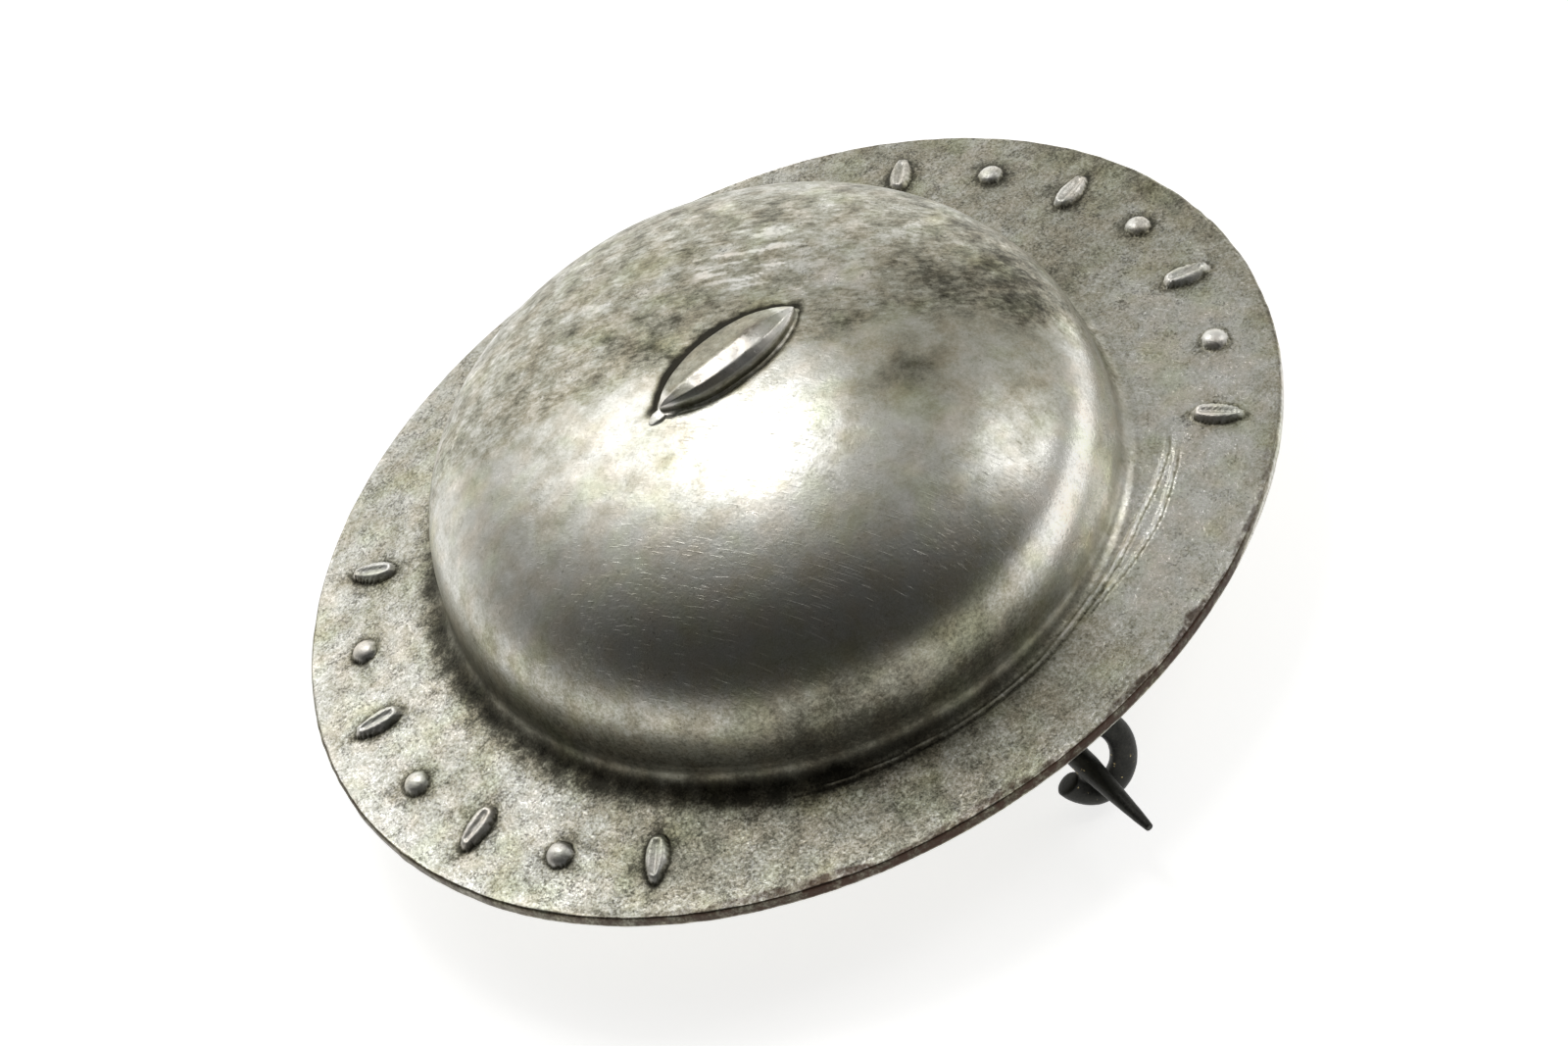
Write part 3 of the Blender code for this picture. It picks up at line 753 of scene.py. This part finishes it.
def hook_centre():
    """The middle of the hook's bend, which hangs from the brim's underside."""
    x, y = HOOK_CENTRE[0], HOOK_CENTRE[1] - BRIM_HALF_WIDTH
    rise = HOOK_RADIUS * math.cos(math.radians(HOOK_START)) * math.cos(math.radians(HOOK_LEAN))
    return np.array([x, y, brim_underside(x, y) - ROOT_GAP - HOOK_WIRE - rise])


def hook_path():
    """The hook's centre line, from its root under the brim to its blunt end."""
    twist, lean = math.radians(HOOK_TWIST), math.radians(HOOK_LEAN)
    across = np.array([math.cos(twist), -math.sin(twist), 0.0])
    out = np.array([-math.sin(twist), -math.cos(twist), 0.0])
    down = out * math.sin(lean) + np.array([0, 0, -1.0]) * math.cos(lean)
    turn = np.linspace(HOOK_START, HOOK_END - 2, HOOK_STEPS)
    angle = np.radians(turn)
    size = HOOK_RADIUS * (1 - HOOK_CURL * np.maximum(0, turn - 180) / 50)
    side = size * HOOK_SIDE * np.sin(angle)
    depth = -size * np.cos(angle) * np.where(np.cos(angle) < 0, HOOK_DEPTH, 1.0)
    return hook_centre() + np.outer(side, across) + np.outer(depth, down)


def pin_path():
    """The pin's centre line and wire radius, from its point along the stem and round the eye."""
    bend = POST_RADIUS + EYE_CLEARANCE + WIRE
    post = np.array([POST_CENTRE[0], BRIM_HALF_WIDTH - POST_CENTRE[1], -EYE_DROP])
    tip = np.array([STEM_TIP[0], -BRIM_HALF_WIDTH - STEM_TIP[1], hook_centre()[2] - STEM_DROP])
    start = post + np.array([bend, 0.0, 0.0])
    long = np.linalg.norm(start - tip)
    near = np.linspace(0, STEM_TAPER * 1.3 / long, 60)
    rest = np.linspace(near[-1], 1, 160)[1:-1]
    part = np.concatenate([near, rest])[:, None]
    stem = tip * (1 - part) + start * part
    turn = np.radians(np.linspace(0, EYE_WRAP - 2, 110))
    spot = np.stack([np.cos(turn), np.sin(turn), np.zeros(len(turn))], 1)
    eye = post + spot * bend
    grown = np.clip(part[:, 0] * long / STEM_TAPER, 0, 1)
    radii = TIP_RADIUS + (WIRE - TIP_RADIUS) * grown**0.85
    radii = np.append(radii, np.full(len(eye), WIRE))
    return softened(np.concatenate([stem, eye]), 3), radii * DRAWN_SHARE


# ---------------------------------------------------------------- solder and post


def cast(node, name, voxel, smooth, rough, seed):
    """A finer piece in the shape of a small CAD node, with softened edges and an uneven skin."""
    source = frame["nodes"][node]
    mesh = source.data.copy()
    mesh.name = name
    obj = bpy.data.objects.new(name, mesh)
    bpy.context.scene.collection.objects.link(obj)
    remesh = obj.modifiers.new("remesh", "REMESH")
    remesh.mode = "VOXEL"
    remesh.voxel_size = voxel * MM
    soften = obj.modifiers.new("soften", "SMOOTH")
    soften.factor = 0.5
    soften.iterations = smooth
    graph = bpy.context.evaluated_depsgraph_get()
    made = bpy.data.meshes.new_from_object(obj.evaluated_get(graph))
    obj.modifiers.clear()
    obj.data = made
    made.name = name
    count = len(made.vertices)
    points = np.empty(count * 3, np.float32)
    made.vertices.foreach_get("co", points)
    outward = np.empty(count * 3, np.float32)
    made.vertices.foreach_get("normal", outward)
    points = points.reshape(-1, 3).astype(float)
    skin = rough * noise(points / MM, 0.5, seed, 3)
    points += outward.reshape(-1, 3) * (skin * MM)[:, None]
    made.vertices.foreach_set("co", points.astype(np.float32).ravel())
    made.polygons.foreach_set("use_smooth", np.ones(len(made.polygons), bool))
    made.update()
    return obj


# ---------------------------------------------------------------- materials


class Shader:
    """A short way to write a Principled material from procedural nodes."""

    def __init__(self, name, **settings):
        self.material = bpy.data.materials.new(name)
        self.material.use_nodes = True
        self.tree = self.material.node_tree
        self.shader = self.tree.nodes["Principled BSDF"]
        for socket, value in settings.items():
            self.shader.inputs[socket.replace("_", " ")].default_value = value
        self.place = self.node("ShaderNodeTexCoord").outputs["Object"]

    def node(self, kind, inputs=None, **props):
        """A new node whose inputs are values or other nodes' outputs."""
        made = self.tree.nodes.new(kind)
        for key, value in props.items():
            setattr(made, key, value)
        for key, value in (inputs or {}).items():
            if isinstance(value, bpy.types.NodeSocket):
                self.tree.links.new(value, made.inputs[key])
            else:
                made.inputs[key].default_value = value
        return made

    def math(self, operation, *values):
        return self.node("ShaderNodeMath", dict(enumerate(values)), operation=operation).outputs[0]

    def mix(self, factor, first, second, blend="MIX"):
        """Blend of two colours by a factor."""
        made = self.node("ShaderNodeMix", data_type="RGBA", blend_type=blend)
        for index, value in ((0, factor), (6, first), (7, second)):
            if isinstance(value, bpy.types.NodeSocket):
                self.tree.links.new(value, made.inputs[index])
            else:
                made.inputs[index].default_value = value
        return made.outputs[2]

    def fact(self, name):
        """A value that the mesh holds at each vertex."""
        return self.node("ShaderNodeAttribute", attribute_name=name).outputs["Fac"]

    def noise(self, size, detail=2.0, roughness=0.5, stretch=None):
        """Noise of 0 to 1 with features of this size in millimetres."""
        place = self.place
        if stretch:
            turned = self.node("ShaderNodeMapping", {"Vector": place, **stretch}, vector_type="TEXTURE")
            place = turned.outputs[0]
        inputs = {"Vector": place, "Scale": 1 / (size * MM), "Detail": detail, "Roughness": roughness}
        return self.node("ShaderNodeTexNoise", inputs).outputs["Fac"]

    def range(self, value, low, high, out_low=0.0, out_high=1.0):
        inputs = {0: value, 1: low, 2: high, 3: out_low, 4: out_high}
        return self.node("ShaderNodeMapRange", inputs).outputs[0]

    def ramp(self, value, stops):
        made = self.node("ShaderNodeValToRGB", {"Fac": value})
        elements = made.color_ramp.elements
        while len(elements) < len(stops):
            elements.new(0.5)
        for element, (position, colour) in zip(elements, stops):
            element.position = position
            element.color = (*colour, 1.0)
        return made.outputs["Color"]

    def bump(self, height, distance, strength=1.0, normal=None):
        inputs = {"Height": height, "Distance": distance * MM, "Strength": strength}
        if normal is not None:
            inputs["Normal"] = normal
        return self.node("ShaderNodeBump", inputs).outputs[0]

    def set(self, socket, value):
        self.tree.links.new(value, self.shader.inputs[socket])


WARM_TINT = (1.0, 0.9, 0.8, 1.0)
OLIVE_TINT = (0.95, 1.0, 0.82, 1.0)
SPOT_COLOUR = (0.055, 0.052, 0.04, 1.0)
STAIN_COLOUR = (0.06, 0.037, 0.027, 1.0)
BRASS_COLOUR = (0.62, 0.5, 0.26, 1.0)


def aged_silver():
    """Silvery sheet gone grey: speckled patina, darker in the recesses, burnished on the high spots, with
    the painted shade and light that the mesh's facts carry.
    """
    s = Shader("aged_silver", Metallic=1.0, Roughness=0.4)
    broad = s.noise(2.8, 3, 0.55)
    blotch = s.noise(0.8, 4, 0.6)
    grain = s.noise(0.15, 3, 0.7)
    fine = s.noise(0.065, 2, 0.6)
    age_and_shade, bright, grainy = s.fact("age_and_shade"), s.fact("bright"), s.fact("grainy")
    scratch = s.noise(0.05, 2, 0.5, {"Rotation": (0.3, 0.2, 0.6), "Scale": (1.0, 25.0, 3.3)})
    scratch = s.range(scratch, 0.62, 0.72)
    speck = s.math("MULTIPLY_ADD", grain, 0.65, s.math("MULTIPLY", fine, 0.35))
    speck = s.math("MULTIPLY", s.math("SUBTRACT", speck, 0.5), s.math("MULTIPLY", grainy, 1.3))
    tone = s.math("ADD", age_and_shade, speck)
    tone = s.math("MULTIPLY_ADD", s.math("SUBTRACT", broad, 0.5), 0.4, tone)
    tone = s.math("MULTIPLY_ADD", s.math("SUBTRACT", blotch, 0.5), 0.52, tone)
    tone = s.math("MULTIPLY_ADD", bright, -0.42, tone)
    lie = {"Rotation": (0.0, 0.0, math.radians(STREAK_TURN)), "Scale": (2.2, 0.8, 0.8)}
    streaky = s.math("MULTIPLY", s.noise(0.24, 4, 0.75, lie), 0.6)
    streaky = s.math("SUBTRACT", s.math("MULTIPLY_ADD", s.noise(0.9, 4, 0.7), 0.6, streaky), 0.6)
    tone = s.math("MULTIPLY_ADD", s.math("MULTIPLY", streaky, s.fact("tarnish_and_shade")), 1.6, tone)
    tone = s.math("MULTIPLY_ADD", scratch, -0.05, tone)
    colour = s.ramp(
        tone,
        [
            (0.0, (0.84, 0.83, 0.79)),
            (0.25, (0.57, 0.565, 0.515)),
            (0.45, (0.37, 0.36, 0.29)),
            (0.72, (0.14, 0.134, 0.102)),
            (1.0, (0.03, 0.028, 0.021)),
        ],
    )
    warm = s.range(s.noise(1.1, 2), 0.42, 0.66)
    colour = s.mix(s.math("MULTIPLY", warm, 0.5), colour, WARM_TINT, "MULTIPLY")
    green = s.range(s.noise(1.7, 2), 0.5, 0.7)
    colour = s.mix(s.math("MULTIPLY", green, 0.6), colour, OLIVE_TINT, "MULTIPLY")
    spots = s.math("MULTIPLY_ADD", s.noise(0.5, 3, 0.6), 0.6, s.noise(0.1, 3, 0.65))
    spots = s.math("MULTIPLY_ADD", s.fact("specked"), 0.3, spots)
    spots = s.range(spots, 0.97, 1.2)
    colour = s.mix(s.math("MULTIPLY", spots, 0.75), colour, SPOT_COLOUR)
    brown = s.math("MULTIPLY", s.fact("brown"), s.range(s.noise(0.5, 4, 0.65), 0.3, 0.55))
    colour = s.mix(brown, colour, STAIN_COLOUR)
    s.set("Base Color", colour)
    rough = s.range(tone, 0.0, 0.8, 0.24, 0.5)
    rough = s.math("MULTIPLY_ADD", bright, 0.16, rough)
    s.set("Roughness", s.math("MULTIPLY_ADD", scratch, 0.05, rough))
    pits = s.node("ShaderNodeTexVoronoi", {"Vector": s.place, "Scale": 1 / (0.35 * MM)})
    pits = s.range(pits.outputs["Distance"], 0.0, 0.25)
    skin = s.bump(grain, 0.03, s.math("MULTIPLY", grainy, 0.45))
    skin = s.bump(pits, 0.02, s.math("MULTIPLY", grainy, 0.3), skin)
    skin = s.bump(scratch, 0.006, 0.4, skin)
    skin = s.bump(blotch, 0.03, 0.25, skin)
    s.set("Normal", skin)
    return s.material


def dull_solder():
    """Grey solder with a grainy skin."""
    s = Shader("dull_solder", Metallic=1.0, Roughness=0.5)
    grain = s.noise(0.14, 4, 0.65)
    blotch = s.noise(0.6, 3, 0.6)
    tone = s.math("MULTIPLY_ADD", grain, 0.7, s.math("MULTIPLY", blotch, 0.6))
    colour = s.ramp(
        s.math("ADD", tone, -0.15),
        [(0.2, (0.74, 0.73, 0.68)), (0.55, (0.42, 0.415, 0.37)), (0.9, (0.1, 0.095, 0.08))],
    )
    s.set("Base Color", colour)
    s.set("Roughness", s.range(grain, 0.2, 0.8, 0.38, 0.62))
    s.set("Normal", s.bump(grain, 0.04, 0.6))
    return s.material


def black_wire():
    """Brass wire with a nearly black patina, scraped to the metal in a few small places."""
    s = Shader("black_wire", Metallic=0.75, Roughness=0.5)
    grain = s.noise(0.1, 4, 0.65)
    blotch = s.noise(0.7, 3, 0.6)
    drawn = s.noise(0.06, 2, 0.5, {"Scale": (1.0, 16.0, 1.0)})
    colour = s.ramp(
        s.math("MULTIPLY_ADD", grain, 0.6, s.math("MULTIPLY", blotch, 0.45)),
        [(0.3, (0.015, 0.015, 0.014)), (0.6, (0.038, 0.038, 0.033)), (0.85, (0.1, 0.095, 0.08))],
    )
    chip = s.range(s.noise(0.28, 3, 0.6, {"Scale": (1.0, 1.6, 0.8)}), 0.685, 0.7)
    chip = s.math("MULTIPLY", chip, s.range(s.noise(2.2, 1), 0.5, 0.56))
    colour = s.mix(chip, colour, BRASS_COLOUR)
    s.set("Base Color", colour)
    rough = s.math("ADD", grain, s.math("MULTIPLY", drawn, 0.4))
    s.set("Roughness", s.range(rough, 0.3, 1.1, 0.34, 0.58))
    skin = s.bump(grain, 0.025, 0.5)
    skin = s.bump(drawn, 0.012, 0.5, skin)
    s.set("Normal", skin)
    return s.material


# ---------------------------------------------------------------- pieces


def dress(obj, material, body, node):
    """The piece gets its material, rides its body, and stands in for the CAD node of the same slot."""
    obj.data.materials.clear()
    obj.data.materials.append(material)
    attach(obj, body)
    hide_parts(node)


silver, solder, wire = aged_silver(), dull_solder(), black_wire()
dress(make_shell(), silver, "badge", "helmet_shell")
dress(make_comb(), silver, "badge", "crown_comb")
dress(make_comb_solder(), silver, "badge", "comb_solder")
hook_radii = np.full(HOOK_STEPS, HOOK_WIRE * DRAWN_SHARE)
dress(sweep("catch_wire", hook_path(), hook_radii, 11), wire, "badge", "catch_hook")
dress(cast("catch_solder", "catch_solder_blob", 0.05, 3, 0.07, 5), solder, "badge", "catch_solder")
dress(cast("hinge_post", "hinge_rivet", 0.04, 3, 0.02, 7), wire, "badge", "hinge_post")
dress(cast("hinge_solder", "hinge_solder_blob", 0.05, 3, 0.07, 8), solder, "badge", "hinge_solder")
stem, stem_radii = pin_path()
dress(sweep("pin_stem", stem, stem_radii, 17), wire, "pin", "pin_wire")


# ---------------------------------------------------------------- stage, camera and lights

CAMERA_AZIMUTH = -19.3
CAMERA_ELEVATION = 46.98
CAMERA_ROLL = -23.38
CAMERA_DISTANCE = 138.76
CAMERA_LENS = 88.52
CAMERA_SHIFT = (-0.003, -0.0143)
SHADE_LEFT = 0.15
SHADE_WIDTH = 1.15
SHADE_HEIGHT = 0.86
SHADE_LIGHT = 0.04
SKY_LIGHT = 0.44
REAR_LIGHT = 0.9
SKY_TINT = (1.0, 0.995, 0.965, 1.0)
FLOOR_HALF_M = 3.0
FLOOR_DROP_M = 0.0002
FLOOR_PAINT = (0.86, 0.86, 0.85, 1.0)
FLOOR_GLOW = 0.75
LIGHT_DISTANCE = 260.0


def camera_axes():
    """The camera's right, up and back as world directions."""
    azimuth, elevation = math.radians(CAMERA_AZIMUTH), math.radians(CAMERA_ELEVATION)
    back = Vector(
        (
            math.sin(azimuth) * math.cos(elevation),
            -math.cos(azimuth) * math.cos(elevation),
            math.sin(elevation),
        )
    )
    level = Vector((math.cos(azimuth), math.sin(azimuth), 0.0))
    upright = back.cross(level)
    roll = math.radians(CAMERA_ROLL)
    right = level * math.cos(roll) + upright * math.sin(roll)
    return right, back.cross(right), back


RIGHT, UP, BACK = camera_axes()
CENTRE_M = Vector(ORIGIN * MM)


def make_camera():
    """The photo's view, from above the near side, with the camera rolled."""
    data = bpy.data.cameras.new("camera")
    camera = bpy.data.objects.new("camera", data)
    bpy.context.scene.collection.objects.link(camera)
    camera.matrix_world = Matrix.Translation(CENTRE_M + BACK * CAMERA_DISTANCE * MM) @ Matrix(
        (
            (RIGHT.x, UP.x, BACK.x, 0),
            (RIGHT.y, UP.y, BACK.y, 0),
            (RIGHT.z, UP.z, BACK.z, 0),
            (0, 0, 0, 1),
        )
    )
    data.lens = CAMERA_LENS
    data.sensor_width = 36.0
    data.shift_x, data.shift_y = CAMERA_SHIFT
    data.clip_start = 0.005
    data.clip_end = 20.0
    bpy.context.scene.camera = camera


def seen(direction):
    """A world direction from its parts to the camera's right, up and back."""
    across, high, near = direction
    return (RIGHT * across + UP * high + BACK * near).normalized()


def softbox(name, first, last, depth, radiance):
    """A soft strip light from one direction to another, as the camera sees them, facing the badge."""
    ends = [seen(first) * LIGHT_DISTANCE, seen(last) * LIGHT_DISTANCE]
    middle = (ends[0] + ends[1]) / 2
    facing = middle.normalized()
    length = (ends[1] - ends[0]).length
    along = (ends[1] - ends[0]).normalized()
    other = facing.cross(along).normalized()
    data = bpy.data.lights.new(name, "AREA")
    data.shape = "RECTANGLE"
    data.size, data.size_y = length * MM, depth * MM
    data.energy = radiance * math.pi * length * depth * MM * MM
    light = bpy.data.objects.new(name, data)
    bpy.context.scene.collection.objects.link(light)
    place = CENTRE_M + middle * MM
    light.matrix_world = Matrix(
        (
            (along.x, other.x, facing.x, place.x),
            (along.y, other.y, facing.y, place.y),
            (along.z, other.z, facing.z, place.z),
            (0, 0, 0, 1),
        )
    )


def make_floor():
    """A pale floor that glows a little, so that it photographs as white."""
    mesh = bpy.data.meshes.new("floor")
    corners = [(x * FLOOR_HALF_M, y * FLOOR_HALF_M, 0) for x, y in ((-1, -1), (1, -1), (1, 1), (-1, 1))]
    mesh.from_pydata(corners, [], [(0, 1, 2, 3)])
    floor = bpy.data.objects.new("floor", mesh)
    floor.location.z = -FLOOR_DROP_M
    bpy.context.scene.collection.objects.link(floor)
    s = Shader("floor_paint", Base_Color=FLOOR_PAINT, Roughness=0.8)
    s.set("Normal", s.bump(s.noise(8, 2), 0.02, 0.05))
    s.shader.inputs["Emission Color"].default_value = (1.0, 1.0, 1.0, 1.0)
    s.shader.inputs["Emission Strength"].default_value = FLOOR_GLOW
    mesh.materials.append(s.material)


def make_world():
    """A pale surround that falls off to dark round the camera, where the photographer stands."""
    world = bpy.data.worlds.new("studio")
    bpy.context.scene.world = world
    world.use_nodes = True
    tree = world.node_tree
    sky = tree.nodes["Background"]
    direction = tree.nodes.new("ShaderNodeTexCoord").outputs["Generated"]

    def along(axis):
        made = tree.nodes.new("ShaderNodeVectorMath")
        made.operation = "DOT_PRODUCT"
        tree.links.new(direction, made.inputs[0])
        made.inputs[1].default_value = axis
        return made.outputs["Value"]

    def calc(operation, first, second):
        made = tree.nodes.new("ShaderNodeMath")
        made.operation = operation
        for socket, value in zip(made.inputs, (first, second)):
            if isinstance(value, bpy.types.NodeSocket):
                tree.links.new(value, socket)
            else:
                socket.default_value = value
        return made.outputs[0]

    def fade(value, low, high, at_low, at_high):
        made = tree.nodes.new("ShaderNodeMapRange")
        made.interpolation_type = "SMOOTHSTEP"
        tree.links.new(value, made.inputs["Value"])
        limits = {"From Min": low, "From Max": high, "To Min": at_low, "To Max": at_high}
        for key, number in limits.items():
            made.inputs[key].default_value = number
        return made.outputs["Result"]

    middle = (BACK - RIGHT * SHADE_LEFT).normalized()
    side = calc("DIVIDE", along(UP.cross(middle).normalized()), SHADE_WIDTH)
    height = calc("DIVIDE", along(UP), SHADE_HEIGHT)
    reach = calc("SQRT", calc("ADD", calc("POWER", side, 2.0), calc("POWER", height, 2.0)), 0.0)
    behind = calc("LESS_THAN", along(middle), 0.0)
    reach = calc("ADD", reach, calc("MULTIPLY", behind, 9.0))
    front = fade(reach, 0.7, 0.95, SHADE_LIGHT, SKY_LIGHT)
    rear = fade(along(BACK), -0.6, -0.05, REAR_LIGHT, 0.0)
    sky.inputs["Color"].default_value = SKY_TINT
    tree.links.new(calc("ADD", front, rear), sky.inputs["Strength"])


make_camera()
make_floor()
make_world()
softbox("key", (-0.52, 0.83, 0.2), (-0.3, 0.86, 0.38), 60, 6.0)
softbox("fill_left", (-0.78, 0.62, -0.05), (-0.5, 0.84, 0.16), 100, 1.3)
softbox("fill_right", (0.28, 0.82, 0.46), (0.74, 0.6, 0.25), 90, 1.7)
bpy.context.scene.view_settings.view_transform = "Standard"
